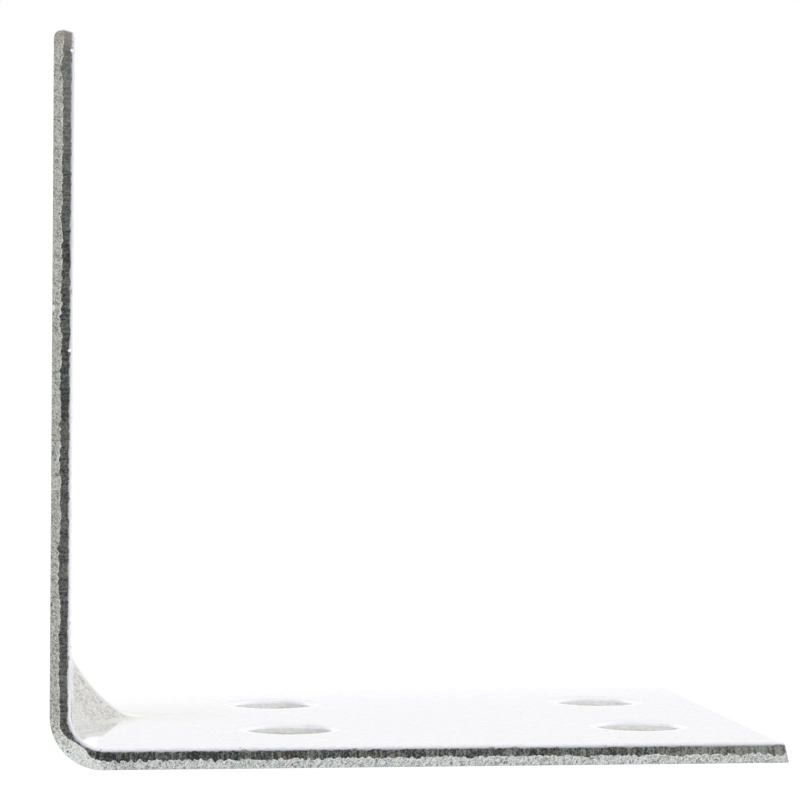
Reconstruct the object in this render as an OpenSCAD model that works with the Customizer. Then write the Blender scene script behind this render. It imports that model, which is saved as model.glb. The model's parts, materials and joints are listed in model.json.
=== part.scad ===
// Ribbed angle bracket, folded from one piece of zinc-coated sheet steel.
// Millimetres, +Z up. The base leg lies along X, the standing leg rises at its -X end,
// and the fold runs along Y. The origin is the middle of the base leg's underside.

/* [Sheet] */
// Thickness of the sheet
sheet_t = 2.5; // [1.5:0.1:3.5]
// Width of both legs, across the fold
width = 65; // [50:1:90]
// Length of the base leg, from the outer face of the standing leg
base_length = 90; // [80:1:140]
// Height of the standing leg, from the underside of the base leg
wall_height = 87.8; // [80:0.1:140]
// Inner radius of the fold
fold_r = 4; // [2:0.5:5]

/* [Edges] */
// Rounding left by the punch along the inner edges of both legs
edge_roll = 0.5; // [0.1:0.05:0.6]
// Rounding of the legs' free corners, seen square to the leg
corner_r = 0.8; // [0.4:0.1:3]
// How far the upper side of the base leg's end falls short of its underside
base_end_rake = 0.65; // [0.1:0.05:0.8]
// How far the inner side of the standing leg's top lies below its outer side
wall_end_drop = 0.35; // [0.1:0.05:0.8]
// Rounding of the standing leg's outer top edge
wall_top_r = 1.2; // [0.5:0.1:1.3]

/* [Screw holes] */
// Diameter of the screw holes
hole_d = 11; // [6:0.5:14]
// Distance between hole centres along each leg
hole_pitch = 45; // [30:1:50]
// Distance between the two rows of holes, across the width
row_gap = 28; // [20:1:34]
// Distance from each leg's free end to the nearest hole centres
hole_end_gap = 15; // [11:0.5:20]
// Rounding of the hole rims on the inner faces
rim_roll = 0.6; // [0.1:0.05:0.7]

/* [Rib] */
// How far the rib reaches up the standing leg, above the base leg's upper face
rib_up = 8.6; // [7:0.1:12]
// How far the rib reaches along the base leg, from the standing leg's inner face
rib_along = 7.7; // [7:0.1:12]
// Radius of the rib's hollow crest line, seen from the side
crest_r = 20; // [16:1:60]
// Rounding across the crest, on the inside of the bracket
nose_r = 3; // [2.8:0.1:4]
// Width of the rib's foot, in the middle of the fold
rib_w = 20; // [14:1:26]

/* [Hidden] */

// Sides of a full circle, and of the small roundings along edges and rims
$fn = 48;
small_fn = 16;

// Margin by which a cutting shape runs past the face that it cuts
cut = 1;

// The side view has its own corner point: where the two outer faces would meet
fold_outer_r = fold_r + sheet_t;
base_flat = base_length - fold_outer_r;
wall_flat = wall_height - fold_outer_r;

// Hole centres along each leg, measured from the corner point
base_hole_x = base_length - hole_end_gap;
wall_hole_z = wall_height - hole_end_gap;

// Crest line of the rib: an arc through one point on each inner face
crest_top = [sheet_t, sheet_t + rib_up];
crest_end = [sheet_t + rib_along, sheet_t];
crest_mid = (crest_top + crest_end) / 2;
crest_chord = norm(crest_end - crest_top);
crest_normal = [rib_up, rib_along] / crest_chord;
crest_centre = crest_mid + crest_normal * sqrt(crest_r ^ 2 - (crest_chord / 2) ^ 2);
crest_from = heading(crest_top - crest_centre);
crest_to = heading(crest_end - crest_centre);

// The rib runs on a little past the crest's ends, inside the thickness of the legs
crest_overrun = 9;

// Slope of the rib's flanks, from its height over the fold's inner face
fold_centre = [fold_outer_r, fold_outer_r];
fold_inner_mid = fold_centre - [fold_r, fold_r] / sqrt(2);
rib_height = norm(fold_inner_mid - crest_centre) - crest_r;
flank_slope = atan2(rib_height, rib_w / 2);

// Direction of a vector in the side view, from 0 to 360 degrees
function heading(v) = (atan2(v.y, v.x) + 360) % 360;

// Turns a shape drawn in the side view, X and Z, so that it runs across the width
module across(span) {
    rotate([90, 0, 0])
        linear_extrude(height = span, center = true) children();
}

// Turns a section about a line along Y, from one side-view heading to another.
// In the section, X is the distance from that line and Y runs across the width.
module turned(from, to) {
    rotate([90, 0, 0])
        rotate([0, 0, from])
            rotate_extrude(angle = to - from) children();
}

// What a square corner loses when it is rounded. The corner is at the origin, its
// material lies towards +X and +Y, and the waste runs past both faces.
module corner_waste(r) {
    difference() {
        translate([-cut, -cut]) square(r + cut);
        translate([r, r]) circle(r);
    }
}

// Section of the sheet: X through its thickness from the inner face, Y across the width
module sheet_section() {
    difference() {
        translate([0, -width / 2]) square([sheet_t, width]);
        translate([0, -width / 2]) corner_waste(edge_roll, $fn = small_fn);
        translate([0, width / 2]) mirror([0, 1]) corner_waste(edge_roll, $fn = small_fn);
    }
}

// Both legs and the fold between them, still with square ends
module folded_strip() {
    translate([fold_outer_r, 0, sheet_t])
        rotate([0, 90, 0])
            linear_extrude(height = base_flat) sheet_section();
    translate([sheet_t, 0, fold_outer_r])
        mirror([1, 0, 0])
            linear_extrude(height = wall_flat) sheet_section();
    translate([fold_outer_r, 0, fold_outer_r])
        turned(180, 270)
            translate([fold_r, 0]) sheet_section();
}

// Waste at a leg's two free corners: the leg ends at X = 0 and lies towards -X
module free_corners() {
    for (side = [0, 1])
        mirror([0, side, 0])
            translate([0, -width / 2, -cut])
                linear_extrude(height = sheet_t + 2 * cut)
                    mirror([1, 0]) corner_waste(corner_r, $fn = small_fn);
}

// Waste at the base leg's end: the raked face and the two corners
module base_end_waste() {
    translate([base_length, 0, 0]) {
        across(width + 2 * cut)
            polygon([[0, 0], [-base_end_rake, sheet_t], [-base_end_rake, sheet_t + cut],
                     [cut, sheet_t + cut], [cut, 0]]);
        free_corners();
    }
}

// Waste at the standing leg's top: the sloping face, the outer edge and the two corners
module wall_end_waste() {
    translate([0, 0, wall_height]) {
        across(width + 2 * cut) {
            polygon([[wall_top_r, 0], [sheet_t, -wall_end_drop], [sheet_t + cut, -wall_end_drop],
                     [sheet_t + cut, cut], [wall_top_r, cut]]);
            mirror([0, 1]) corner_waste(wall_top_r, $fn = small_fn);
        }
        rotate([0, -90, 0])
            mirror([0, 0, 1]) free_corners();
    }
}

// One screw hole, entered from above: the inner face of its leg is at Z = sheet_t
module screw_hole() {
    translate([0, 0, -cut]) cylinder(h = sheet_t + 2 * cut, d = hole_d);
    translate([0, 0, sheet_t])
        rotate_extrude()
            translate([hole_d / 2, 0]) mirror([0, 1]) corner_waste(rim_roll, $fn = small_fn);
}

// The four holes of one leg: the outer pair is at X = end, the inner pair nearer the fold
module hole_group(end) {
    for (x = [end - hole_pitch, end], y = [-row_gap / 2, row_gap / 2])
        translate([x, y, 0]) screw_hole();
}

// The rib's section at its crest: a blunt V that opens away from the crest line's
// centre. It stands off from the crest line by gap, and its point is rounded to r.
module rib_section(gap, r) {
    depth = rib_height + fold_outer_r;
    side = r * sin(flank_slope);
    shoulder = r * (1 - cos(flank_slope));
    foot = side + (depth - shoulder) / tan(flank_slope);
    translate([crest_r + gap, 0]) {
        translate([r, 0]) circle(r);
        polygon([[shoulder, -side], [shoulder, side], [depth, foot], [depth, -foot]]);
    }
}

// A ridge along the crest line, or the hollow behind it
module rib_wedge(gap, r) {
    translate([crest_centre.x, 0, crest_centre.y])
        turned(crest_from - crest_overrun, crest_to + crest_overrun)
            rib_section(gap, r);
}

// Everything on the inner side of the bracket's outer faces, near the fold
module corner_block() {
    reach = sheet_t + max(rib_up, rib_along) + fold_outer_r;
    across(width / 2 + rib_w)
        difference() {
            square(reach);
            corner_waste(fold_outer_r);
        }
}

module bracket() {
    color("gainsboro")
        translate([-base_length / 2, 0, 0])
            difference() {
                union() {
                    folded_strip();
                    intersection() {
                        rib_wedge(0, nose_r);
                        corner_block();
                    }
                }
                rib_wedge(sheet_t, nose_r - sheet_t);
                base_end_waste();
                wall_end_waste();
                hole_group(base_hole_x);
                rotate([0, -90, 0]) mirror([0, 0, 1]) hole_group(wall_hole_z);
            }
}

bracket();
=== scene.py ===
"""The looks of a ribbed angle bracket, folded from one piece of zinc-coated sheet steel.

The bracket is made the way a press shop makes it. A flat blank is laid out and punched,
its sheared edges get their grain, the rib is pressed, and the strip is folded.
"""

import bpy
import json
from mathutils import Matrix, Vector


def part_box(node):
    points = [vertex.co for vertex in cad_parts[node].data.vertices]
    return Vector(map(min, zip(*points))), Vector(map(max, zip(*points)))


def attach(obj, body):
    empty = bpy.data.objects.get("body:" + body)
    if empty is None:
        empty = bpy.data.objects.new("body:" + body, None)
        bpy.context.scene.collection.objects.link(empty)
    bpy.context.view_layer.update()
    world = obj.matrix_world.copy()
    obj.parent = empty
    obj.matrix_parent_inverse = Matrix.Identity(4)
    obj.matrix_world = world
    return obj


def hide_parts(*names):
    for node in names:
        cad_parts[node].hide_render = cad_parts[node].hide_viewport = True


bl_info = {
    "name": "Ribbed Angle Bracket",
    "version": (1, 0, 0),
    "blender": (4, 5, 0),
    "location": "View3D > Sidebar > Bracket",
    "description": "Models a folded sheet-steel bracket and its studio",
    "category": "Object",
}

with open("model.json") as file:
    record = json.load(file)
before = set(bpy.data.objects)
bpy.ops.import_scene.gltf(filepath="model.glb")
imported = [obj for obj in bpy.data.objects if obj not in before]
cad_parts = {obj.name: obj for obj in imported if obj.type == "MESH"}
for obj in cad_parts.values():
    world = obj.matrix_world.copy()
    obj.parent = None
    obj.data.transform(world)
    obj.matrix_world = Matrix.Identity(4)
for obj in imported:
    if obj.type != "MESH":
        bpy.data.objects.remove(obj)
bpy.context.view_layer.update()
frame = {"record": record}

import json
import math
from types import SimpleNamespace

import bmesh
import bpy
from bpy.props import FloatProperty, FloatVectorProperty, IntProperty, PointerProperty
from mathutils import Matrix, Vector, noise

NODE = "bracket"
BODY = "root"

# Lengths are metres in Blender, and millimetres while the blank is worked
MM = 0.001
LOW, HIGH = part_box(NODE)
MOUNTS = {mount["name"]: mount for mount in frame["record"]["mounts"]}

# Names of the blank's attributes that the materials read
BLANK, TEAR, PUNCHED, PRESSED_AND_REFLECTED = "blank", "tear", "punched", "pressed"

# Places of the two finishes on the sheet
ZINC_FACE, SHEARED_EDGE = 0, 1

# Nicks in the standing leg's front edge, in millimetres: the way down from its end, the
# height above its outer face, and the reach of the nick
NICKS = ((2.4, 2.2, 0.28), (38.1, 2.15, 0.26), (33.1, 0.05, 0.40))
NICK_DEPTH = 0.15

# Room round a hole inside its square, in millimetres
PAD_MARGIN = 2.5

# Limits on the upward part of a normal. A face below STANDING stands, one below PLAIN_WALL
# is a wall without rounding, one above FLAT is flat, and one above NEARLY_FLAT is flat or the
# flatter facet of a burr. A point above FLAT_POINT belongs to a flat face.
STANDING, PLAIN_WALL, FLAT, NEARLY_FLAT, FLAT_POINT = 0.5, 0.05, 0.99, 0.9, 0.8

# Points nearer to a cutting plane than this lie on it, in millimetres
SNAP = 1e-4

# The sheared walls are divided this much more finely up their height than along it
WALL_FINENESS = 1.3

# Steps in which the standing leg's outer top edge is rounded
WALL_ROUND_STEPS = 8

# The tear's mean height above the outer face, in millimetres, and the waves that it swings
# in: how fine, their mean, where their pattern starts, how strong on the standing leg, and
# how much stronger on the base leg
TEAR_HEIGHT = 0.94
TEAR_WAVES = (
    (0.3, 0.35, (7, 3, 0), 0.4, 0.0),
    (0.95, 0.3, (0, 0, 0), 0.4, 0.2),
    (2.1, 0.25, (2, 9, 0), 0.3, 0.2),
)

# How far the torn part stands back, how deep its crumbs go, and how deep the lines of the
# smooth part are, in millimetres
TORN_BACK, CRUMB_DEPTH, LINE_DEPTH = 0.02, 0.055, 0.008

# What a bump's full height stands for on the two finishes, in metres
ZINC_RELIEF, STEEL_RELIEF = 3e-5, 6e-5

# Grey of the floor for the light that it throws, and its grey and glow where it is seen
FLOOR_GREY, SEEN_FLOOR_GREY, SEEN_FLOOR_LIFT = 0.8, 0.25, 0.85

# The backdrop's bright foot: the heights between which it ends, and how far that line leans
FOOT_TOP, FOOT_FULL, FOOT_LEAN = 0.117, 0.107, 0.035


# ---------------------------------------------------------------- properties


def length(label, about, default):
    """A length property whose default is in millimetres."""
    return FloatProperty(name=label, description=about, default=default * MM, min=0.0,
                         unit="LENGTH", precision=5)


def colour(label, about, default):
    """A colour property, with linear red, green and blue."""
    return FloatVectorProperty(name=label, description=about, default=default, size=3,
                               min=0.0, max=1.0, subtype="COLOR")


def angle(label, about, degrees):
    """An angle property whose default is in degrees."""
    return FloatProperty(name=label, description=about, default=math.radians(degrees),
                         subtype="ANGLE", unit="ROTATION")


class BracketSheetSizes(bpy.types.PropertyGroup):
    """Sizes of the folded sheet that its packed box and mounts don't give."""
    thickness: length("Thickness", "Thickness of the sheet", 2.5)
    fold_radius: length("Fold radius", "Inner radius of the fold", 4.0)
    corner_radius: length("Corner radius", "Rounding of the legs' free corners", 0.8)
    edge_roll: length("Edge roll", "Rounding of the inner edges, from the punch", 0.5)
    rim_roll: length("Rim roll", "Rounding of the hole rims on the inner faces", 0.6)
    base_rake: length("Base end rake", "How far the base leg's upper side falls short", 0.65)
    wall_drop: length("Wall end drop", "How far the wall's inner side lies lower", 0.35)
    wall_round: length("Wall top rounding", "Rounding of the wall's outer top edge", 1.2)


class BracketRibSizes(bpy.types.PropertyGroup):
    """Sizes of the rib that is pressed across the fold."""
    rise: length("Rise", "Reach of the rib up the standing leg", 8.6)
    run: length("Run", "Reach of the rib along the base leg", 7.7)
    crest_radius: length("Crest radius", "Radius of the hollow crest line", 20.0)
    nose_radius: length("Nose radius", "Rounding across the crest", 3.0)
    foot_width: length("Foot width", "Width of the rib in the middle of the fold", 20.0)
    fillet: length("Fillet", "Softness where the rib's flanks meet the sheet", 0.9)


class BracketMeshSteps(bpy.types.PropertyGroup):
    """How finely the blank is divided before it is folded."""
    face_step: length("Face step", "Spacing of lines on the plain stretches", 2.0)
    fold_step: length("Fold step", "Spacing of lines across the fold and the rib", 0.5)
    edge_step: length("Edge step", "Spacing of points along the sheared edges", 0.25)
    pad_cells: IntProperty(name="Pad cells", default=16, min=8, max=32,
                           description="Cells along each side of a hole's square")
    roll_segments: IntProperty(name="Roll segments", default=4, min=2, max=8,
                               description="Steps round a rolled edge")


class BracketFinish(bpy.types.PropertyGroup):
    """Colours of the zinc coat and of the bare sheared steel."""
    zinc: colour("Zinc", "Clean zinc coat", (0.90, 0.90, 0.925))
    zinc_shade: colour("Zinc shade", "Cool patches of the coat", (0.79, 0.79, 0.835))
    smudge: colour("Smudge", "Warm smudges on the coat past the rib's tip", (0.76, 0.745, 0.705))
    # The rib's pressed colours are partly the punch's mark and partly painted reflection of the
    # darker light in front
    pressed: colour("Pressed zinc", "Coat that the rib's punch has rubbed",
                    (0.38, 0.37, 0.335))
    pressed_pale: colour("Pressed zinc, pale", "Paler swirls of that coat",
                         (0.76, 0.755, 0.725))
    rim: colour("Hole rim", "Coat that the punch polished round the screw holes",
                (0.925, 0.925, 0.95))
    # Lighter than the rim above it, as painted light where less light comes from the front
    rim_low: colour("Hole rim, low", "The same coat further down the rim", (0.99, 0.99, 1.0))
    speck: colour("Speck", "Small dark specks in the coat", (0.30, 0.29, 0.27))
    # The rolled zinc's dark tint is partly the thin coat and partly painted shade on the lower
    # roll
    rolled: colour("Rolled zinc", "Thin coat that the punch drew down the edges",
                   (0.42, 0.42, 0.48))
    rust: colour("Tarnish", "Brown spots along the rolled edges", (0.30, 0.25, 0.21))
    punched: colour("Punched wall", "Upper walls of the screw holes", (0.92, 0.93, 0.925))
    punched_dull: colour("Punched wall, dull", "Mottling of the holes' walls", (0.80, 0.81, 0.81))
    # Partly the torn steel and partly painted shade inside the holes
    punched_deep: colour("Punched wall, deep", "Their walls further down", (0.72, 0.72, 0.62))
    fracture: colour("Fracture", "Torn part of the standing leg's edge", (0.58, 0.58, 0.54))
    fracture_base: colour("Fracture, base", "Torn part of the base leg's edge",
                          (0.53, 0.555, 0.553))
    fracture_fold: colour("Fracture, fold", "Torn part round the fold", (0.86, 0.88, 0.85))
    # Painted shade in the fracture's hollows, and a painted highlight on its crests, along the
    # tear and round the standing leg's end
    fracture_dark: colour("Fracture hollows", "Hollows between the grains",
                          (0.11, 0.11, 0.075))
    tear_line: colour("Tear line", "Bright crests of the torn part", (0.93, 0.95, 0.94))
    sheared_end: colour("Sheared end", "Brown end of the standing leg",
                        (0.42, 0.395, 0.345))
    # The smooth part's colours are kept dark as a painted reflection of the darker surroundings
    # in front
    burnish: colour("Burnish", "Pale patches of the smooth part", (0.30, 0.31, 0.28))
    burnish_brown: colour("Burnish tarnish", "Brown patches of the smooth part",
                          (0.26, 0.245, 0.205))
    burnish_dark: colour("Burnish shade", "Dark patches of the smooth part",
                         (0.030, 0.037, 0.046))
    burnish_soot: colour("Burnish soot", "Brown-black patches of the smooth part",
                         (0.044, 0.039, 0.034))


class BracketStudio(bpy.types.PropertyGroup):
    """The studio: camera, light and floor."""
    foot_level: FloatProperty(name="Foot level", default=1.09, min=0.0,
                              description="Strength of the light near the horizon")
    front_level: FloatProperty(name="Front level", default=0.85, min=0.0,
                               description="Strength of the light from behind the camera")
    zenith: colour("Zenith", "Tint of the light from straight above", (0.98, 0.98, 1.0))
    floor_size: length("Floor size", "Side of the square floor", 60000.0)
    camera_place: FloatVectorProperty(name="Camera place", description="Where the camera stands",
                                      default=(-0.04361, -0.34977, 0.04357), size=3,
                                      subtype="TRANSLATION", unit="LENGTH", precision=5)
    camera_yaw: angle("Camera yaw", "Turn of the camera to the right", 7.207)
    camera_pitch: angle("Camera pitch", "Upward tilt of the camera", 0.0945)
    camera_roll: angle("Camera roll", "Anticlockwise roll of the view", 0.3551)
    camera_lens: FloatProperty(name="Lens", description="Focal length", default=119.78,
                               min=1.0, unit="CAMERA")


# ---------------------------------------------------------------- the blank


def sheet_plan(scene):
    """Every size of the sheet in millimetres, and what follows from them."""
    sheet, rib, steps = scene.bracket_sheet, scene.bracket_rib, scene.bracket_steps
    plan = SimpleNamespace(**{
        name: getattr(group, name) / MM
        for group in (sheet, rib, steps)
        for name in group.__annotations__ if name not in ("pad_cells", "roll_segments")
    })
    plan.pad_cells, plan.roll_segments = steps.pad_cells, steps.roll_segments
    plan.width = (HIGH.y - LOW.y) / MM
    plan.base_length = (HIGH.x - LOW.x) / MM
    plan.wall_height = (HIGH.z - LOW.z) / MM
    plan.outer_radius = plan.fold_radius + plan.thickness
    # Along the blank: the standing leg, the fold, the base leg
    plan.fold_start = plan.wall_height - plan.outer_radius
    plan.fold_end = plan.fold_start + (plan.fold_radius + plan.thickness / 2) * math.pi / 2
    plan.length = plan.fold_end + plan.base_length - plan.outer_radius
    plan.holes = hole_places(plan)
    plan.hole_radius = MOUNTS["base_holes"]["dims"]["hole_r_mm"]
    plan.pad = plan.hole_radius + PAD_MARGIN
    add_crest(plan)
    return plan


def hole_places(plan):
    """Centres of the screw holes on the blank: along it, and across it."""
    wall, base = MOUNTS["wall_holes"], MOUNTS["base_holes"]
    ends = (-0.5, 0.5)
    wall_mid = plan.wall_height - (wall["pos_m"][2] - LOW.z) / MM
    base_mid = plan.fold_end - plan.outer_radius + (base["pos_m"][0] - LOW.x) / MM
    along = [wall_mid + end * wall["dims"]["spacing_y_mm"] for end in ends]
    along += [base_mid + end * base["dims"]["spacing_x_mm"] for end in ends]
    across = [end * base["dims"]["spacing_y_mm"] for end in ends]
    return [(u, v) for u in along for v in across]


def add_crest(plan):
    """The rib's crest line: an arc through one point on each inner face, seen from the side."""
    top = Vector((plan.thickness, plan.thickness + plan.rise))
    end = Vector((plan.thickness + plan.run, plan.thickness))
    chord = (end - top).length
    outward = Vector((plan.rise, plan.run)) / chord
    reach = math.sqrt(plan.crest_radius ** 2 - (chord / 2) ** 2)
    plan.crest_centre = (top + end) / 2 + outward * reach
    fold_middle = Vector((1, 1)) * (plan.outer_radius - plan.fold_radius / math.sqrt(2))
    plan.rib_height = (fold_middle - plan.crest_centre).length - plan.crest_radius
    plan.crest_end_reach = max(top.y, end.x)
    plan.flank_slope = math.atan2(plan.rib_height, plan.foot_width / 2)


def divided(marks):
    """Lines from the first mark to the last. A mark is a place and the step that follows it."""
    found = []
    for (start, step), (end, _) in zip(marks, marks[1:]):
        count = max(1, round((end - start) / step))
        found += [start + (end - start) * i / count for i in range(count)]
    return found[1:]


def cut_lines(plan):
    """Where the blank is divided, along it and across it, so that each hole has its square."""
    pad_step = 2 * plan.pad / plan.pad_cells
    brim = 2 * plan.edge_roll
    reach = 4 * plan.fold_step
    rib_top = plan.fold_start + plan.outer_radius - plan.thickness - plan.rise - reach
    rib_end = plan.fold_end + plan.run + plan.thickness - plan.outer_radius + reach
    # Between the two rows of holes, the lines lie closer for the rib
    rib_step = 1.4 * plan.fold_step

    def square(centre, step_after):
        return (centre - plan.pad, pad_step), (centre + plan.pad, step_after)

    upper, lower, near, far = sorted({u for u, _ in plan.holes})
    front, back = sorted({v for _, v in plan.holes})
    half = plan.width / 2
    along = [(0, brim), (brim, plan.face_step),
             *square(upper, plan.face_step), *square(lower, plan.face_step),
             (rib_top, plan.fold_step), (rib_end, plan.face_step),
             *square(near, plan.face_step), *square(far, plan.face_step),
             (plan.length - brim, brim), (plan.length, brim)]
    across = [(-half, brim), (brim - half, plan.face_step),
              *square(front, rib_step), *square(back, plan.face_step),
              (half - brim, brim), (half, brim)]
    return divided(along), divided(across)


def everything(bm):
    return bm.verts[:] + bm.edges[:] + bm.faces[:]


def parts_of(faces):
    """The faces with their points and edges, each once and always in the same order."""
    verts = dict.fromkeys(vert for face in faces for vert in face.verts)
    edges = dict.fromkeys(edge for face in faces for edge in face.edges)
    return [*verts, *edges, *faces]


def cut_blank(plan):
    """The flat blank at height 0, with rounded corners and divided into cells."""
    bm = bmesh.new()
    bmesh.ops.create_grid(bm, x_segments=1, y_segments=1, size=0.5)
    bmesh.ops.scale(bm, vec=(plan.length, plan.width, 1), verts=bm.verts)
    bmesh.ops.translate(bm, vec=(plan.length / 2, 0, 0), verts=bm.verts)
    bmesh.ops.bevel(bm, geom=bm.verts[:], offset=plan.corner_radius, offset_type="OFFSET",
                    segments=6, profile=0.5, affect="VERTICES", material=-1)
    along, across = cut_lines(plan)
    for u in along:
        bmesh.ops.bisect_plane(bm, geom=everything(bm), plane_co=(u, 0, 0), plane_no=(1, 0, 0))
    for v in across:
        bmesh.ops.bisect_plane(bm, geom=everything(bm), plane_co=(0, v, 0), plane_no=(0, 1, 0))
    return bm


def loose_ring(bm, radius, centre, segments):
    """A ring of edges round a hole's centre."""
    made = bmesh.ops.create_circle(bm, cap_ends=False, radius=radius, segments=segments,
                                   matrix=Matrix.Translation((*centre, 0)))
    return list(dict.fromkeys(edge for vert in made["verts"] for edge in vert.link_edges))


def punch(bm, plan):
    """Takes out the square round each hole and fills it up to the hole's edge with rings."""
    segments = 4 * plan.pad_cells
    brim = plan.hole_radius + 2 * plan.rim_roll
    for centre in plan.holes:
        def in_square(point, slack):
            return max(abs(point.x - centre[0]), abs(point.y - centre[1])) < plan.pad + slack
        waste = [face for face in bm.faces if in_square(face.calc_center_median(), 0)]
        bmesh.ops.delete(bm, geom=waste, context="FACES")
        outline = [edge for edge in bm.edges if edge.is_boundary
                   and all(in_square(vert.co, 0.01) for vert in edge.verts)]
        for radius in (brim, plan.hole_radius):
            ring = loose_ring(bm, radius, centre, segments)
            bmesh.ops.bridge_loops(bm, edges=outline + ring)
            outline = ring


def is_standing(face):
    return abs(face.normal.z) < STANDING


def thicken(bm, plan):
    """Gives the blank its thickness. The outer face is at height 0, the inner face on top."""
    made = bmesh.ops.extrude_face_region(bm, geom=bm.faces[:], use_keep_orig=True)
    top = [item for item in made["geom"] if isinstance(item, bmesh.types.BMVert)]
    bmesh.ops.translate(bm, vec=(0, 0, plan.thickness), verts=top)
    bmesh.ops.recalc_face_normals(bm, faces=bm.faces)


def near_hole(plan, point):
    return any(math.hypot(point.x - u, point.y - v) < plan.hole_radius + plan.rim_roll
               for u, v in plan.holes)


def roll_edges(bm, plan):
    """Rounds the rims of the inner face, and takes the sharpness off those of the outer."""
    burr = plan.edge_roll / 5
    rims = [edge for edge in bm.edges
            if len(edge.link_faces) == 2 and sum(map(is_standing, edge.link_faces)) == 1]
    inner = [edge for edge in rims if edge.verts[0].co.z > plan.thickness / 2]
    outer = [edge for edge in rims if edge.verts[0].co.z < plan.thickness / 2]
    hole_rims = [edge for edge in inner if near_hole(plan, edge.verts[0].co)]
    side_rims = [edge for edge in inner if not near_hole(plan, edge.verts[0].co)]
    for edges, offset, segments in ((hole_rims, plan.rim_roll, plan.roll_segments),
                                    (side_rims, plan.edge_roll, plan.roll_segments),
                                    (outer, burr, 2)):
        bmesh.ops.bevel(bm, geom=edges, offset=offset, offset_type="OFFSET", segments=segments,
                        profile=0.5, affect="EDGES", material=-1)
    bm.normal_update()


def refine_walls(bm, plan):
    """Divides the sheared walls finely, up their height and along the outline."""
    levels = round((plan.thickness - plan.edge_roll) / plan.edge_step * WALL_FINENESS)
    for i in range(1, levels):
        walls = [face for face in bm.faces if abs(face.normal.z) < PLAIN_WALL]
        height = (plan.thickness - plan.edge_roll) * i / levels
        bmesh.ops.bisect_plane(bm, geom=parts_of(walls), dist=SNAP,
                               plane_co=(0, 0, height), plane_no=(0, 0, 1))
    bm.normal_update()
    rings = {}
    for edge in bm.edges:
        ends = [vert.co for vert in edge.verts]
        level = abs(ends[0].z - ends[1].z) < SNAP
        sheared = any(abs(face.normal.z) < FLAT for face in edge.link_faces)
        if level and sheared and not near_hole(plan, ends[0]):
            cuts = math.ceil(edge.calc_length() / plan.edge_step - 0.01) - 1
            rings.setdefault(cuts, []).append(edge)
    for cuts, edges in rings.items():
        if cuts > 0:
            bmesh.ops.subdivide_edges(bm, edges=edges, cuts=cuts)


# ---------------------------------------------------------------- shear, nick, press, fold


def smooth_step(low, high, value):
    """0 up to low and 1 from high, with a soft rise between them."""
    share_of_way = min(max((value - low) / (high - low), 0), 1)
    return share_of_way * share_of_way * (3 - 2 * share_of_way)


def smooth_min(a, b, reach):
    """The lesser of two lengths, with a fillet where they cross."""
    near = max(reach - abs(a - b), 0) / reach
    return min(a, b) - near * near * reach / 4


def tear_height(place, plan):
    """Height on the sheet at which the punch stops cutting and the steel tears."""
    flat = Vector((place.x, place.y, 0))
    on_base = smooth_step(plan.fold_start, plan.fold_end, place.x)
    height = TEAR_HEIGHT
    for fineness, mean, pattern_start, strength, more_on_base in TEAR_WAVES:
        wave = mean - abs(noise.noise(flat * fineness + Vector(pattern_start)))
        height += (strength + more_on_base * on_base) * wave
    # Folding squeezes the smooth part away, down to a thin line
    turn = (place.x - plan.fold_start) / (plan.fold_end - plan.fold_start)
    squeezed = smooth_step(0.15, 0.58, turn) * (1 - smooth_step(0.66, 0.86, turn))
    return height + (plan.thickness - plan.edge_roll - 0.1 - height) * squeezed


def shear_walls(bm, plan):
    """Notes where each point lies on the blank, and roughens and nicks the sheared walls."""
    bm.normal_update()
    blank = bm.verts.layers.float_vector.new(BLANK)
    tear = bm.verts.layers.float.new(TEAR)
    punched = bm.verts.layers.float.new(PUNCHED)
    roll_foot = plan.thickness - plan.edge_roll
    moves = []
    for vert in bm.verts:
        place = vert.co.copy()
        vert[blank] = place
        above = place.z - tear_height(place, plan)
        vert[tear] = above
        vert[punched] = 1.0 if near_hole(plan, place) else 0.0
        if abs(vert.normal.z) > FLAT_POINT:
            continue
        torn = 1 - smooth_step(-0.12, 0.04, above)
        crumbs = noise.fractal(place * 1.7, 0.7, 2.1, 4) + 0.4
        ripple = noise.noise(Vector((place.x * 3, place.y * 3, place.z * 0.4)))
        depth = torn * (TORN_BACK + CRUMB_DEPTH * max(crumbs, 0))
        depth += (1 - torn) * LINE_DEPTH * (1 + ripple)
        depth *= smooth_step(plan.thickness, roll_foot - 0.1, place.z)
        for along, up, reach in NICKS:
            away = (place - Vector((along, -plan.width / 2, up))).length
            depth += NICK_DEPTH * (1 - smooth_step(0.4 * reach, 1.4 * reach, away))
        outward = Vector((vert.normal.x, vert.normal.y, 0)).normalized()
        moves.append((vert, outward * depth))
    for vert, move in moves:
        vert.co -= move


def round_wall_top(bm, plan):
    """Adds lines to the outer face near the standing leg's top, and rounds that edge."""
    for i in range(1, WALL_ROUND_STEPS):
        strip = [face for face in bm.faces if face.normal.z < -NEARLY_FLAT
                 and face.calc_center_median().x < plan.wall_round]
        line = plan.wall_round * (1 - math.sin(math.radians(90 * i / WALL_ROUND_STEPS)))
        bmesh.ops.bisect_plane(bm, geom=parts_of(strip), dist=SNAP,
                               plane_co=(line, 0, 0), plane_no=(1, 0, 0))
    middle = plan.wall_round
    for vert in bm.verts:
        inward = Vector((vert.co.x - middle, vert.co.z - middle))
        if vert.co.x < middle and vert.co.z < middle and inward.length > middle:
            inward *= middle / inward.length
            vert.co.x, vert.co.z = middle + inward.x, middle + inward.y


def slope_ends(point, plan):
    """Gives both free ends the slope that the shears left, working on the blank."""
    inner_share = point.z / plan.thickness
    past_round = max(point.z - plan.wall_round, 0) / (plan.thickness - plan.wall_round)
    point.x += plan.wall_drop * past_round * (1 - smooth_step(0, plan.pad, point.x))
    base_end = smooth_step(plan.length - plan.pad, plan.length, point.x)
    point.x -= plan.base_rake * inner_share * base_end


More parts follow.
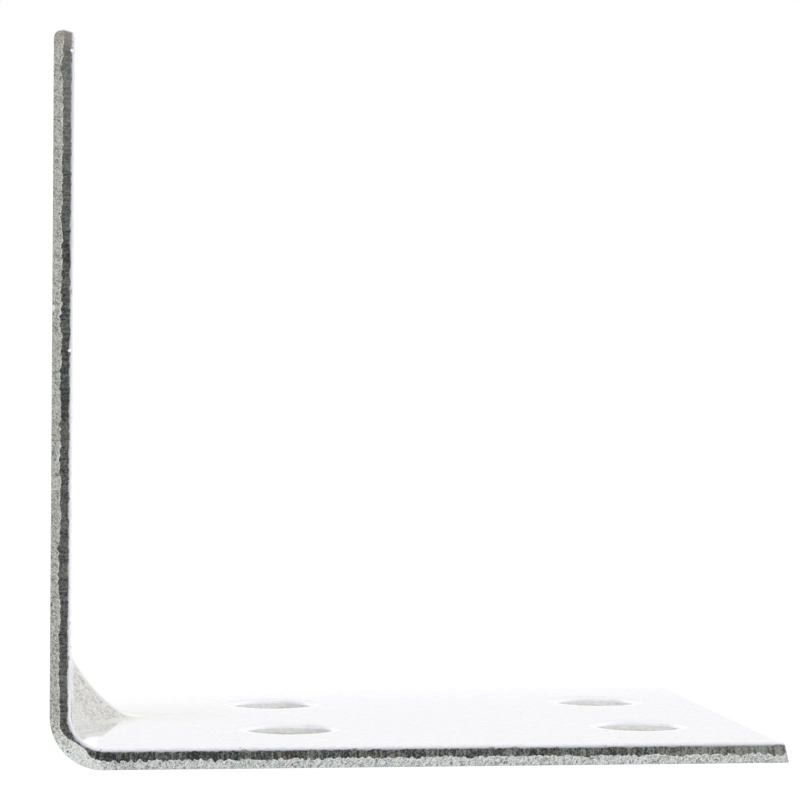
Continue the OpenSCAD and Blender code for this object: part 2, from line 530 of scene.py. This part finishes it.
def fold(point, plan):
    """Carries a point of the blank to its place on the folded strip."""
    u, v, n = point
    if u <= plan.fold_start:
        return Vector((n, v, plan.wall_height - u))
    if u >= plan.fold_end:
        return Vector((plan.outer_radius + u - plan.fold_end, v, n))
    turn = (u - plan.fold_start) / (plan.fold_end - plan.fold_start) * math.pi / 2
    radius = plan.outer_radius - n
    return Vector((plan.outer_radius - radius * math.cos(turn), v,
                   plan.outer_radius - radius * math.sin(turn)))


def press_rib(point, height, plan):
    """Presses the rib across the fold. Returns the place, and how much of the darker coat lies
    there: the punch's mark on the flanks, a painted reflection of the flanks on the faces at
    their feet, and none on the crest, which stays bright as a painted highlight.
    """
    from_centre = Vector((point.x, point.z)) - plan.crest_centre
    if max(from_centre) > 0:
        return point, 0.0
    gap = plan.thickness - height
    nose = plan.nose_radius - gap
    side = nose * math.sin(plan.flank_slope)
    across = abs(point.y)
    if across < side:
        fall = nose - math.sqrt(nose * nose - across * across)
    else:
        shoulder = nose * (1 - math.cos(plan.flank_slope))
        fall = shoulder + (across - side) * math.tan(plan.flank_slope)
    before = from_centre.length
    target = plan.crest_radius + gap + fall
    after = smooth_min(before, target, plan.fillet)
    from_centre *= after / before
    place = plan.crest_centre + from_centre
    # The punch rubs the flanks. The darker coat also reaches the faces at their feet as a painted
    # reflection of the flanks, and stays off the crest, which keeps its bright zinc as a painted
    # highlight
    pushed = before - target
    painted_crest_highlight = smooth_step(-1.0, 0.3, pushed) * (1 - smooth_step(side * 0.8, side * 1.5, across))
    past_tip = smooth_step(-2.0, 2.5, max(point.x, point.z) - plan.crest_end_reach)
    rubbed_and_reflected = smooth_step(-2.8, -0.2, pushed) * (1 - painted_crest_highlight) * (1 - past_tip)
    return Vector((place.x, point.y, place.y)), rubbed_and_reflected


def fold_blank(bm, plan):
    """Folds the worked blank into its packed place, and turns millimetres into metres."""
    blank = bm.verts.layers.float_vector[BLANK]
    pressed = bm.verts.layers.float.new(PRESSED_AND_REFLECTED)
    corner = Vector((LOW.x, (LOW.y + HIGH.y) / 2, LOW.z))
    for vert in bm.verts:
        height = vert[blank].z
        slope_ends(vert.co, plan)
        place, vert[pressed] = press_rib(fold(vert.co, plan), height, plan)
        vert.co = corner + place * MM


def sheet_mesh(plan):
    """The whole folded sheet as a mesh, with its two finishes."""
    bm = cut_blank(plan)
    punch(bm, plan)
    thicken(bm, plan)
    roll_edges(bm, plan)
    refine_walls(bm, plan)
    round_wall_top(bm, plan)
    for face in bm.faces:
        face.material_index = SHEARED_EDGE if abs(face.normal.z) < FLAT else ZINC_FACE
        face.smooth = True
    shear_walls(bm, plan)
    fold_blank(bm, plan)
    bmesh.ops.triangulate(bm, faces=[face for face in bm.faces if len(face.verts) > 4])
    mesh = bpy.data.meshes.new("bracket_sheet")
    bm.to_mesh(mesh)
    bm.free()
    return mesh


# ---------------------------------------------------------------- material building


def wire(tree, socket, source):
    """Sets a socket to a value, or links another socket to it."""
    if isinstance(source, bpy.types.NodeSocket):
        tree.links.new(source, socket)
    else:
        socket.default_value = source


def place_node(tree, kind, inputs=None, **settings):
    """A node with its settings, and its inputs by name or number."""
    made = tree.nodes.new(f"ShaderNode{kind}")
    for name, value in settings.items():
        setattr(made, name, value)
    for name, source in (inputs or {}).items():
        wire(tree, made.inputs[name], source)
    return made


def maths(tree, operation, a, b=0.0):
    return place_node(tree, "Math", {0: a, 1: b}, operation=operation).outputs[0]


def total(tree, first, *others):
    """The sum of sockets and numbers."""
    for other in others:
        first = maths(tree, "ADD", first, other)
    return first


def product(tree, first, *others):
    """The product of sockets and numbers."""
    for other in others:
        first = maths(tree, "MULTIPLY", first, other)
    return first


def rest_of(tree, value):
    """What a value leaves of 1."""
    return maths(tree, "SUBTRACT", 1.0, value)


def clamped(value):
    """Holds the result of a maths node between 0 and 1."""
    value.node.use_clamp = True
    return value


def ramp(tree, value, low, high, start=0.0, end=1.0):
    """Maps low to high onto start to end, with a soft rise between them."""
    made = place_node(tree, "MapRange", {"Value": value, "From Min": low, "From Max": high,
                                         "To Min": start, "To Max": end},
                      interpolation_type="SMOOTHSTEP")
    return made.outputs["Result"]


def by_leg(tree, on_base, wall, base):
    """A number that is one on the standing leg and another on the base leg."""
    return ramp(tree, on_base, 0.0, 1.0, wall, base)


def full_colour(source):
    """A colour with its alpha, or the socket that gives one."""
    return source if isinstance(source, bpy.types.NodeSocket) else (*source, 1)


def blend_colour(tree, factor, first, second):
    """Goes from the first colour to the second as the factor goes from 0 to 1."""
    made = place_node(tree, "Mix", data_type="RGBA")
    # The mix node holds inputs for every kind of data, so those for colours go by number
    wire(tree, made.inputs[0], factor)
    wire(tree, made.inputs[6], full_colour(first))
    wire(tree, made.inputs[7], full_colour(second))
    return made.outputs[2]


def blend_number(tree, factor, first, second):
    """Goes from the first number to the second as the factor goes from 0 to 1."""
    return place_node(tree, "Mix", {0: factor, 2: first, 3: second},
                      data_type="FLOAT").outputs[0]


def stretched(tree, vector, stretch):
    made = place_node(tree, "VectorMath", {0: vector, 1: stretch}, operation="MULTIPLY")
    return made.outputs[0]


def slanted(tree, vector, angle, stretch):
    """The vector leaned over along the sheet's edge, then stretched."""
    leaned = place_node(tree, "VectorRotate", {"Vector": vector, "Angle": math.radians(angle)},
                        rotation_type="Y_AXIS").outputs[0]
    return stretched(tree, leaned, stretch)


def distance_to(tree, vector, centre):
    made = place_node(tree, "VectorMath", {0: vector, 1: centre}, operation="DISTANCE")
    return made.outputs["Value"]


def noise_value(tree, vector, scale, detail=2.0, roughness=0.5, distortion=0.0):
    made = place_node(tree, "TexNoise", {"Vector": vector, "Scale": scale, "Detail": detail,
                                         "Roughness": roughness, "Distortion": distortion})
    return made.outputs[0]


def ridges(tree, vector, scale, width, distortion=0.0):
    """Thin curved lines: 1 along them, falling to 0 at their sides."""
    field = noise_value(tree, vector, scale, distortion=distortion)
    off = maths(tree, "ABSOLUTE", maths(tree, "SUBTRACT", field, 0.5))
    return ramp(tree, off, width, 0.0)


def read_attribute(tree, name):
    return place_node(tree, "Attribute", attribute_name=name)


def new_group(name, inputs, outputs):
    """An empty shader group with its sockets, as (tree, input node, output node)."""
    tree = bpy.data.node_groups.new(name, "ShaderNodeTree")
    for label, kind, default in inputs:
        socket = tree.interface.new_socket(label, in_out="INPUT", socket_type=f"NodeSocket{kind}")
        if default is not None:
            socket.default_value = default
    for label, kind in outputs:
        tree.interface.new_socket(label, in_out="OUTPUT", socket_type=f"NodeSocket{kind}")
    return tree, tree.nodes.new("NodeGroupInput"), tree.nodes.new("NodeGroupOutput")


def use_group(tree, group, inputs):
    """Places a group with its own values, and gives its only output."""
    made = tree.nodes.new("ShaderNodeGroup")
    made.node_tree = group
    for name, source in inputs.items():
        wire(tree, made.inputs[name], source)
    return made.outputs[0]


def drawn_streaks_group():
    """Lines drawn out along one direction, as rollers and dies leave them."""
    tree, given, result = new_group(
        "Drawn Streaks",
        [("Vector", "Vector", None), ("Stretch", "Vector", (1, 1, 1)),
         ("Contrast", "Float", 1.0)],
        [("Value", "Float")])
    drawn = stretched(tree, given.outputs["Vector"], given.outputs["Stretch"])
    value = noise_value(tree, drawn, scale=1.0, detail=5.0, roughness=0.62)
    value = maths(tree, "SUBTRACT", value, 0.5)
    value = clamped(maths(tree, "MULTIPLY_ADD", value, given.outputs["Contrast"]))
    value.node.inputs[2].default_value = 0.5
    wire(tree, result.inputs["Value"], value)
    return tree


def scattered_specks_group():
    """Small spots at random places: how many cells hold one, and how big they are."""
    tree, given, result = new_group(
        "Scattered Specks",
        [("Vector", "Vector", None), ("Scale", "Float", 1.0), ("Size", "Float", 0.2),
         ("Share", "Float", 0.3)],
        [("Mask", "Float")])
    warp = place_node(tree, "TexNoise", {"Vector": given.outputs["Vector"], "Scale": 3.0})
    bent = stretched(tree, warp.outputs["Color"], (0.35, 0.35, 0.35))
    bent = place_node(tree, "VectorMath", {0: bent, 1: given.outputs["Vector"]},
                      operation="ADD").outputs[0]
    cells = place_node(tree, "TexVoronoi", {"Vector": bent, "Scale": given.outputs["Scale"]})
    chance = place_node(tree, "SeparateColor", {0: cells.outputs["Color"]}).outputs[0]
    held = maths(tree, "LESS_THAN", chance, given.outputs["Share"])
    size = product(tree, given.outputs["Size"], held)
    edge = maths(tree, "SUBTRACT", size, cells.outputs["Distance"])
    wire(tree, result.inputs["Mask"], ramp(tree, edge, 0.0, 0.06))
    return tree


def new_metal(name):
    """A metal material, as (material, tree, shader)."""
    material = bpy.data.materials.new(name)
    material.use_nodes = True
    shader = material.node_tree.nodes["Principled BSDF"]
    shader.inputs["Metallic"].default_value = 1.0
    return material, material.node_tree, shader


def add_relief(tree, shader, height, strength, metres):
    """Bumps a shader's surface. The height from 0 to 1 stands for so many metres."""
    bump = place_node(tree, "Bump", {"Height": height, "Strength": strength,
                                     "Distance": metres})
    wire(tree, shader.inputs["Normal"], bump.outputs[0])


# ---------------------------------------------------------------- the two finishes


def zinc_tone(tree, finish, streaks, specks, place):
    """Colour and roughness of the zinc coat, and the lines that the rollers left in it."""
    patches = noise_value(tree, place, scale=1.1, detail=7.0, roughness=0.7)
    patches = ramp(tree, patches, 0.38, 0.64)
    lines = use_group(tree, streaks, {"Vector": place, "Stretch": (0.12, 1.4, 1.0),
                                      "Contrast": 1.3})
    dots = use_group(tree, specks, {"Vector": place, "Scale": 0.55, "Size": 0.12,
                                    "Share": 0.42})
    shade = product(tree, patches, ramp(tree, lines, 0.25, 0.75, 0.6, 1.0))
    tone = blend_colour(tree, shade, finish.zinc, finish.zinc_shade)
    tone = blend_colour(tree, product(tree, dots, 0.7), tone, finish.speck)
    return tone, ramp(tree, patches, 0.0, 1.0, 0.18, 0.26), lines


def zinc_coat(finish, streaks, specks, plan):
    """Bright zinc on the sheet's faces, bumpier and darker on the rib, where the punch made it
    matt. That darker coat is partly painted reflection, and reaches the faces at the rib's feet
    as a painted reflection of the flanks.
    """
    material, tree, shader = new_metal("zinc_coat")
    place = read_attribute(tree, BLANK).outputs["Vector"]
    pressed = read_attribute(tree, PRESSED_AND_REFLECTED).outputs["Fac"]
    tone, rough, lines = zinc_tone(tree, finish, streaks, specks, place)
    swirl = noise_value(tree, place, scale=1.1, detail=7.0, roughness=0.65, distortion=1.8)
    scuffs = ridges(tree, place, scale=0.8, width=0.03, distortion=1.5)
    # The rib's darker coat is partly painted reflection of the darker light in front of its
    # flanks
    rubbed_and_reflected_tone = blend_colour(tree, ramp(tree, swirl, 0.30, 0.64), finish.pressed, finish.pressed_pale)
    rubbed_and_reflected_tone = blend_colour(tree, product(tree, scuffs, 0.5), rubbed_and_reflected_tone, finish.zinc)

    # Faint warm smudges lie on the base leg, past the rib's tip
    tip = plan.fold_end + plan.run + plan.thickness - plan.outer_radius
    away = distance_to(tree, place, (tip + 5, 3, plan.thickness))
    smudges = noise_value(tree, place, scale=0.45, detail=5.0, roughness=0.65)
    smudges = product(tree, ramp(tree, away, 12, 2), ramp(tree, smudges, 0.36, 0.62))
    tone = blend_colour(tree, smudges, tone, finish.smudge)
    # Where the pressed share lies, the faces at the rib's feet carry a painted reflection of the
    # flanks, and the crest keeps a painted highlight
    wire(tree, shader.inputs["Base Color"], blend_colour(tree, pressed, tone, rubbed_and_reflected_tone))

    # The coat is glossier where it is seen at a slant
    slant = place_node(tree, "LayerWeight", {"Blend": 0.5}).outputs["Facing"]
    rough = product(tree, rough, ramp(tree, slant, 0.5, 0.88, 1.0, 0.08))
    wire(tree, shader.inputs["Roughness"], rough)

    grain = noise_value(tree, place, scale=2.4, detail=8.0, roughness=0.65)
    relief = total(tree, product(tree, lines, 0.35), grain, product(tree, swirl, 0.8))
    add_relief(tree, shader, relief, ramp(tree, pressed, 0.75, 1.0, 0.02, 0.5), ZINC_RELIEF)
    return material


def edge_places(tree, plan):
    """Where a point of the sheared edges lies, and a fine and a coarse noise about 0."""
    place = read_attribute(tree, BLANK).outputs["Vector"]
    nibble = noise_value(tree, place, scale=4.0, detail=3.0, roughness=0.6)
    ragged = noise_value(tree, place, scale=1.1, detail=3.0, roughness=0.6)
    along, _, height = place_node(tree, "SeparateXYZ", {0: place}).outputs
    in_fold = product(tree, ramp(tree, along, plan.fold_start - 1, plan.fold_start + 4),
                      ramp(tree, along, plan.fold_end + 2, plan.fold_end - 3))
    return SimpleNamespace(
        place=place, along=along, height=height, in_fold=in_fold,
        on_base=ramp(tree, along, plan.fold_start, plan.fold_end),
        punched=read_attribute(tree, PUNCHED).outputs["Fac"],
        nibble=maths(tree, "SUBTRACT", nibble, 0.5),
        ragged=maths(tree, "SUBTRACT", ragged, 0.5))


def torn_tone(tree, finish, specks, at):
    """Colour and relief of the torn part: painted highlights on the grains' crests and painted
    shade in the hollows and pits between them.
    """
    leaned = slanted(tree, at.place, angle=-38, stretch=(1.4, 1.4, 0.75))
    crests = ridges(tree, leaned, scale=2.0, width=0.11, distortion=0.7)
    leaned = slanted(tree, at.place, angle=-34, stretch=(1.3, 1.3, 0.75))
    hollows = ridges(tree, leaned, scale=2.3, width=0.06, distortion=0.9)
    grain = noise_value(tree, at.place, scale=4.5, detail=4.0, roughness=0.75)
    pits = use_group(tree, specks, {"Vector": at.place, "Scale": 1.1, "Size": 0.19,
                                    "Share": 0.35})
    depth = maths(tree, "SUBTRACT", by_leg(tree, at.on_base, 0.85, 0.65),
                  product(tree, at.in_fold, 0.25))
    # Hollows and pits are darkened as painted shade
    level = rest_of(tree, product(tree, hollows, depth))
    level = maths(tree, "SUBTRACT", level, product(tree, pits, 0.8))
    level = clamped(maths(tree, "SUBTRACT", level, ramp(tree, grain, 0.46, 0.34, 0.0, 0.75)))
    steel = blend_colour(tree, at.on_base, finish.fracture, finish.fracture_base)
    steel = blend_colour(tree, at.in_fold, steel, finish.fracture_fold)
    tone = blend_colour(tree, level, finish.fracture_dark, steel)
    # The grains' crests are lightened as a painted highlight
    bright = product(tree, crests, by_leg(tree, at.on_base, 0.25, 0.75))
    tone = blend_colour(tree, bright, tone, finish.tear_line)
    return tone, total(tree, crests, product(tree, level, 0.8))


def cut_level(tree, at, plan):
    """How pale the smooth part is along the strip: most at its ends, least in the fold."""
    from_end = maths(tree, "MINIMUM", at.along, maths(tree, "SUBTRACT", plan.length, at.along))
    start, end = plan.fold_start, plan.fold_end
    return total(tree, ramp(tree, from_end, 32, 0, 0.15, 0.57),
                 ramp(tree, at.along, start - 38, start - 18, 0.0, 0.09),
                 ramp(tree, at.along, start, end, 0.0, -0.27),
                 ramp(tree, at.along, end, end + 35, 0.0, 0.18))


def cut_tone(tree, finish, streaks, at, plan):
    """Colour and relief of the smooth part: mottled, with lines that the punch drew. Its dark
    colours are a painted reflection of the darker surroundings in front.
    """
    lines = use_group(tree, streaks, {"Vector": at.place, "Stretch": (3.4, 3.4, 0.3),
                                      "Contrast": 2.2})
    patches = noise_value(tree, at.place, scale=0.6, detail=3.0, roughness=0.6)
    leaned = slanted(tree, at.place, angle=20, stretch=(1.2, 1.2, 0.9))
    mottle = noise_value(tree, leaned, scale=3.8, detail=6.0, roughness=0.78)
    level = total(tree, ramp(tree, mottle, 0.33, 0.67, -0.37, 0.52),
                  ramp(tree, patches, 0.35, 0.65, -0.08, 0.10),
                  ramp(tree, lines, 0.2, 0.8, -0.21, 0.25))
    level = product(tree, level, by_leg(tree, at.on_base, 0.72, 1.25))
    level = clamped(total(tree, level, cut_level(tree, at, plan)))
    # Painted reflection: the dark and brown-black patches stand in for the darker surroundings
    # that the smooth steel mirrors
    stained = ramp(tree, noise_value(tree, at.place, scale=0.9), 0.52, 0.66)
    pale = blend_colour(tree, stained, finish.burnish, finish.burnish_brown)
    reflection_brown_share = ramp(tree, noise_value(tree, at.place, scale=1.5), 0.45, 0.6)
    dark = blend_colour(tree, reflection_brown_share, finish.burnish_dark, finish.burnish_soot)
    tone = blend_colour(tree, level, dark, pale)
    return tone, total(tree, product(tree, lines, 0.3), mottle)


def hole_wall_tone(tree, finish, at, plan):
    """Colour of the screw holes' walls, which are duller further down: partly the torn steel,
    partly painted shade inside the hole.
    """
    dull = noise_value(tree, at.place, scale=2.2, detail=6.0, roughness=0.75)
    wall = blend_colour(tree, ramp(tree, dull, 0.38, 0.62), finish.punched, finish.punched_dull)
    smeared = noise_value(tree, at.place, scale=1.3, detail=5.0, roughness=0.75)
    smeared = total(tree, at.height, ramp(tree, smeared, 0.3, 0.7, -0.25, 0.25))
    # The lower wall is darker: partly the torn steel, partly painted shade inside the hole
    upper = ramp(tree, smeared, plan.thickness - 1.35, plan.thickness - 1.0)
    return blend_colour(tree, upper, finish.punched_deep, wall)


def bare_tone(tree, finish, streaks, specks, at, plan):
    """The bare steel: its colour, its relief, and 1 where it is smooth and 0 where torn."""
    torn, torn_relief = torn_tone(tree, finish, specks, at)
    cut, cut_relief = cut_tone(tree, finish, streaks, at, plan)
    cut = blend_colour(tree, at.punched, cut, hole_wall_tone(tree, finish, at, plan))
    above = total(tree, read_attribute(tree, TEAR).outputs["Fac"],
                  product(tree, at.nibble, 0.35))
    smooth = ramp(tree, above, -0.05, 0.05)
    tone = blend_colour(tree, smooth, torn, cut)
    # A painted highlight along the tear
    line = product(tree, ramp(tree, above, -0.16, -0.04), ramp(tree, above, 0.06, -0.02),
                   ramp(tree, at.ragged, -0.08, 0.08, 0.1, 0.7))
    tone = blend_colour(tree, line, tone, finish.tear_line)
    # The shears left the standing leg's end brown; its pale rim is a painted highlight
    brown = ramp(tree, at.along, 3.0, 0.3, 0.0, 0.5)
    tone = blend_colour(tree, brown, tone, finish.sheared_end)
    painted_end_highlight = ramp(tree, at.along, 0.3, 0.1, 0.0, 0.7)
    tone = blend_colour(tree, painted_end_highlight, tone, finish.tear_line)
    relief = blend_number(tree, smooth, torn_relief, product(tree, cut_relief, 0.4))
    return tone, relief, smooth


def drawn_zinc_tone(tree, finish, streaks, specks, at, plan):
    """Colour and roughness of the zinc that the punch drew round the rolled edges, with painted
    light low on the hole rims and painted shade low on the other rolls.
    """
    zinc, rough, _ = zinc_tone(tree, finish, streaks, specks, at.place)
    # Painted light: the hole rim's coat turns lighter further down the roll, where less light
    # comes from the front
    painted_rim_light = ramp(tree, at.height, plan.thickness - 0.05, plan.thickness - 0.25)
    rim = blend_colour(tree, painted_rim_light, finish.rim, finish.rim_low)
    zinc = blend_colour(tree, at.punched, zinc, rim)
    # The coat thins on its way down the roll, and is darker there, partly from the thin coat and
    # partly as painted shade where the roll turns to the dimmer front
    thin_coat_and_painted_shade = product(tree, ramp(tree, at.height, plan.thickness - 0.05, plan.thickness - 0.5),
                      rest_of(tree, at.punched), by_leg(tree, at.on_base, 0.75, 1.0))
    zinc = blend_colour(tree, thin_coat_and_painted_shade, zinc, finish.rolled)
    rust = use_group(tree, specks, {"Vector": at.place, "Scale": 0.5, "Size": 0.22,
                                    "Share": 0.8})
    rust = product(tree, rust, rest_of(tree, at.punched),
                   ramp(tree, at.height, plan.thickness - 0.1, plan.thickness - 0.3))
    return blend_colour(tree, product(tree, rust, 0.8), zinc, finish.rust), rough


def coated_share(tree, at, plan):
    """1 where the walls are coated: down to a ragged line, and in chips along their foot."""
    drawn = total(tree, product(tree, at.nibble, 0.2), product(tree, at.ragged, 0.5))
    drawn = total(tree, at.height, drawn, by_leg(tree, at.on_base, -0.03, -0.06),
                  product(tree, at.punched, 0.23))
    coated = ramp(tree, drawn, plan.thickness - 0.54, plan.thickness - 0.34)
    chips = noise_value(tree, at.place, scale=0.8, detail=3.0, roughness=0.7)
    chips = ramp(tree, chips, 0.60, 0.70, 0.0, 0.3)
    under = ramp(tree, maths(tree, "SUBTRACT", at.height, chips), 0.06, 0.0)
    return maths(tree, "MAXIMUM", coated, under)


def sheared_steel(finish, streaks, specks, plan):
    """Bare steel along the sheared walls, up to the zinc that is drawn round the roll."""
    material, tree, shader = new_metal("sheared_steel")
    at = edge_places(tree, plan)
    bare, relief, smooth = bare_tone(tree, finish, streaks, specks, at, plan)
    zinc, zinc_rough = drawn_zinc_tone(tree, finish, streaks, specks, at, plan)
    coated = coated_share(tree, at, plan)
    tone = blend_colour(tree, coated, bare, zinc)
    for nick_along, nick_up, reach in NICKS:
        away = distance_to(tree, at.place, (nick_along, -plan.width / 2, nick_up))
        away = total(tree, away, product(tree, at.nibble, 0.3))
        tone = blend_colour(tree, ramp(tree, away, reach, 0.75 * reach), tone, finish.rim)
    wire(tree, shader.inputs["Base Color"], tone)
    bare_rough = total(tree, ramp(tree, smooth, 0.0, 1.0, 0.6, 0.4),
                       product(tree, at.punched, 0.2))
    rough = blend_number(tree, coated, bare_rough, zinc_rough)
    wire(tree, shader.inputs["Roughness"], rough)
    add_relief(tree, shader, product(tree, relief, rest_of(tree, coated)), 0.5, STEEL_RELIEF)
    return material


# ---------------------------------------------------------------- the studio


def empty_tree(owner):
    """The node tree of a new material or world, with nothing in it."""
    owner.use_nodes = True
    owner.node_tree.nodes.clear()
    return owner.node_tree


def floor_material():
    """White floor. The camera and reflections see it at full white outside the shadows."""
    material = bpy.data.materials.new("studio_floor")
    tree = empty_tree(material)
    path = place_node(tree, "LightPath").outputs
    mirrored = maths(tree, "MAXIMUM", path["Is Glossy Ray"], path["Is Transmission Ray"])
    seen = maths(tree, "MAXIMUM", path["Is Camera Ray"], mirrored)
    plain, soft = (place_node(tree, "BsdfDiffuse", {"Color": full_colour(3 * [grey])}).outputs[0]
                   for grey in (FLOOR_GREY, SEEN_FLOOR_GREY))
    lift = place_node(tree, "Emission", {"Strength": SEEN_FLOOR_LIFT}).outputs[0]
    lifted = place_node(tree, "AddShader", {0: soft, 1: lift}).outputs[0]
    both = place_node(tree, "MixShader", {0: seen, 1: plain, 2: lifted}).outputs[0]
    place_node(tree, "OutputMaterial", {"Surface": both})
    return material


def studio_world(studio):
    """White light from all sides, weaker from the front and stronger near the horizon."""
    world = bpy.data.worlds.new("studio_world")
    tree = empty_tree(world)
    direction = place_node(tree, "TexCoord").outputs["Generated"]
    sideways, toward_back, upward = place_node(tree, "SeparateXYZ", {0: direction}).outputs
    front = ramp(tree, toward_back, -1.0, 0.3, studio.front_level, 1.0)
    # The foot of the backdrop is brightest, up to a line that leans a little
    lean = total(tree, upward, product(tree, sideways, FOOT_LEAN))
    foot = ramp(tree, lean, FOOT_TOP, FOOT_FULL, 1.0, studio.foot_level)
    sky = blend_colour(tree, ramp(tree, upward, 0.2, 0.9), (1, 1, 1), studio.zenith)
    lit = place_node(tree, "Background", {"Color": sky, "Strength": product(tree, front, foot)})
    place_node(tree, "OutputWorld", {"Surface": lit.outputs[0]})
    return world


# ---------------------------------------------------------------- operators


def link_new(name, data):
    made = bpy.data.objects.new(name, data)
    bpy.context.scene.collection.objects.link(made)
    return made


class BRACKET_OT_stage(bpy.types.Operator):
    """Set up the floor, the light and the camera"""
    bl_idname = "bracket.stage"
    bl_label = "Studio"

    def execute(self, context):
        scene, studio = context.scene, context.scene.bracket_studio
        bm = bmesh.new()
        bmesh.ops.create_grid(bm, x_segments=1, y_segments=1, size=studio.floor_size / 2)
        bmesh.ops.translate(bm, vec=(0, 0, LOW.z), verts=bm.verts)
        mesh = bpy.data.meshes.new("studio_floor")
        bm.to_mesh(mesh)
        bm.free()
        mesh.materials.append(floor_material())
        link_new("studio_floor", mesh)

        camera = bpy.data.cameras.new("camera")
        camera.sensor_width = 36
        camera.lens = studio.camera_lens
        view = link_new("camera", camera)
        view.location = studio.camera_place
        view.rotation_euler = (math.pi / 2 + studio.camera_pitch, -studio.camera_roll,
                               -studio.camera_yaw)
        scene.camera = view
        scene.world = studio_world(studio)
        scene.view_settings.view_transform = "Standard"
        return {"FINISHED"}


class BRACKET_OT_sheet(bpy.types.Operator):
    """Make the folded sheet, with its zinc and its sheared edges"""
    bl_idname = "bracket.sheet"
    bl_label = "Folded Sheet"

    def execute(self, context):
        plan = sheet_plan(context.scene)
        mesh = sheet_mesh(plan)
        finish = context.scene.bracket_finish
        streaks, specks = drawn_streaks_group(), scattered_specks_group()
        mesh.materials.append(zinc_coat(finish, streaks, specks, plan))
        mesh.materials.append(sheared_steel(finish, streaks, specks, plan))
        piece = link_new("bracket_sheet", mesh)
        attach(piece, BODY)
        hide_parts(NODE)
        return {"FINISHED"}


class BRACKET_PT_panel(bpy.types.Panel):
    """Lists the steps that make the bracket"""
    bl_idname = "BRACKET_PT_panel"
    bl_label = "Ribbed Angle Bracket"
    bl_space_type = "VIEW_3D"
    bl_region_type = "UI"
    bl_category = "Bracket"

    def draw(self, context):
        for operator, groups in STEPS:
            box = self.layout.box()
            box.operator(operator.bl_idname)
            for name in groups:
                values = getattr(context.scene, name)
                for field in values.__annotations__:
                    box.prop(values, field)


STEPS = (
    (BRACKET_OT_stage, ("bracket_studio",)),
    (BRACKET_OT_sheet, ("bracket_sheet", "bracket_rib", "bracket_steps", "bracket_finish")),
)
GROUPS = {
    "bracket_sheet": BracketSheetSizes,
    "bracket_rib": BracketRibSizes,
    "bracket_steps": BracketMeshSteps,
    "bracket_finish": BracketFinish,
    "bracket_studio": BracketStudio,
}
CLASSES = (*GROUPS.values(), BRACKET_OT_stage, BRACKET_OT_sheet, BRACKET_PT_panel)


def register():
    for known in CLASSES:
        bpy.utils.register_class(known)
    for name, group in GROUPS.items():
        setattr(bpy.types.Scene, name, PointerProperty(type=group))


def unregister():
    for name in GROUPS:
        delattr(bpy.types.Scene, name)
    for known in reversed(CLASSES):
        bpy.utils.unregister_class(known)


def main():
    register()
    bpy.ops.bracket.stage()
    bpy.ops.bracket.sheet()


if __name__ == "__main__":
    main()
